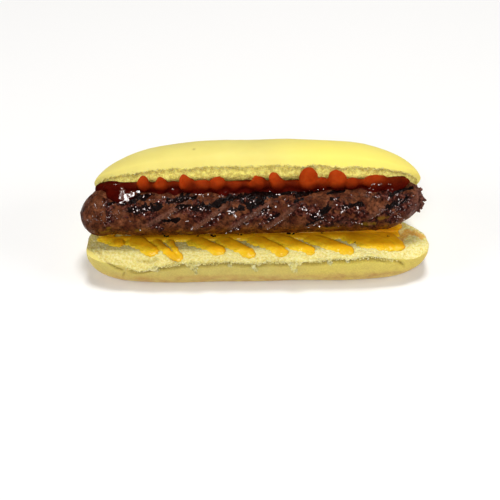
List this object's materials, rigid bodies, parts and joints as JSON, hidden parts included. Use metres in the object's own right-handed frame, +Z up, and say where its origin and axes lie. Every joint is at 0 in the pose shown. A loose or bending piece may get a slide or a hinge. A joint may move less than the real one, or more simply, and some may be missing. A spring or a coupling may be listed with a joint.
{
  "type": "hot dog",
  "caption": "Hot dog: a grilled sausage in a soft roll split along the front, with ketchup on top of the sausage and mustard strokes on the lower cut face.",
  "frame": {"origin": "on the table, below the middle of the hot dog's outer box", "axes": "+X along the roll to the sausage's torn end, -Y towards the open front, +Z up"},
  "size_m": [0.152, 0.058, 0.0514],
  "materials": {
    "bread": "soft matt crust and open crumb",
    "grilled_meat": "oily, blistered and charred",
    "ketchup": "wet gloss",
    "mustard": "wet gloss"
  },
  "bodies": {
    "root": {"bun": "bread", "sausage": "grilled_meat", "ketchup": "ketchup", "mustard": "mustard"}
  },
  "joints": []
}
